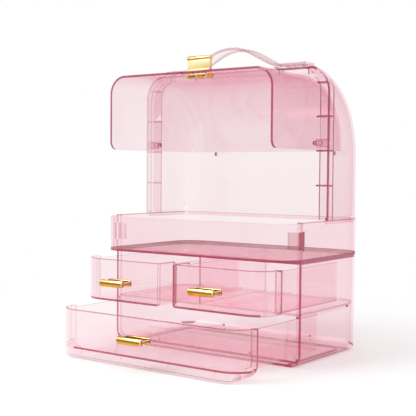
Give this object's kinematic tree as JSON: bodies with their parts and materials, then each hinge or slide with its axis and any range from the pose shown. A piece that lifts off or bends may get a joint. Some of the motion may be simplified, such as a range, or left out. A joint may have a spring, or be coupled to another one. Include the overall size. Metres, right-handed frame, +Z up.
{
  "type": "makeup storage case with handle",
  "caption": "Upright transparent makeup case: drawer cabinet, open tray above it, arched hood, flip-over cover that nests in the hood, gold grips and an arched carry handle.",
  "frame": {"origin": "on the table under the middle of the case's bounding box, with the drawers and the cover open as pictured", "axes": "+Z up, +Y to the back of the case (the drawers open towards -Y), +X to the right of someone facing the drawers"},
  "size_m": [0.245, 0.2572, 0.3346],
  "materials": {
    "clear_pink": "clear pink moulded plastic, glossy",
    "gold": "polished gold plating",
    "steel": "plain screw steel"
  },
  "bodies": {
    "case": {"cabinet": "clear_pink", "shelf_panel": "clear_pink", "divider_panel": "clear_pink", "tray": "clear_pink", "tray_front_panel": "clear_pink", "panel_clip_left": "clear_pink", "panel_clip_right": "clear_pink", "hood": "clear_pink", "pivot_pin_left": "clear_pink", "pivot_pin_right": "clear_pink", "carry_handle": "clear_pink", "handle_rivets": "clear_pink"},
    "cover": {"cover": "clear_pink", "clasp_pull": "gold", "clasp_catch": "gold", "clasp_screws": "steel"},
    "drawer_bottom": {"drawer_bottom": "clear_pink", "pull_bottom": "gold", "pull_screws_bottom": "steel"},
    "drawer_left": {"drawer_left": "clear_pink", "pull_left": "gold", "pull_screws_left": "steel"},
    "drawer_right": {"drawer_right": "clear_pink", "pull_right": "gold", "pull_screws_right": "steel"}
  },
  "joints": [
    {"name": "cover_hinge", "type": "hinge", "parent": "case", "child": "cover", "pos_m": [0, 0.04715, 0.2275], "axis": [1, 0, 0], "range_deg": [0, 90]},
    {"name": "bottom_drawer_slide", "type": "slide", "parent": "case", "child": "drawer_bottom", "axis": [0, -1, 0], "range_m": [-0.0755, 0.02]},
    {"name": "left_drawer_slide", "type": "slide", "parent": "case", "child": "drawer_left", "axis": [0, -1, 0], "range_m": [-0.036, 0.03]},
    {"name": "right_drawer_slide", "type": "slide", "parent": "case", "child": "drawer_right", "axis": [0, -1, 0], "range_m": [-0.033, 0.03]}
  ]
}
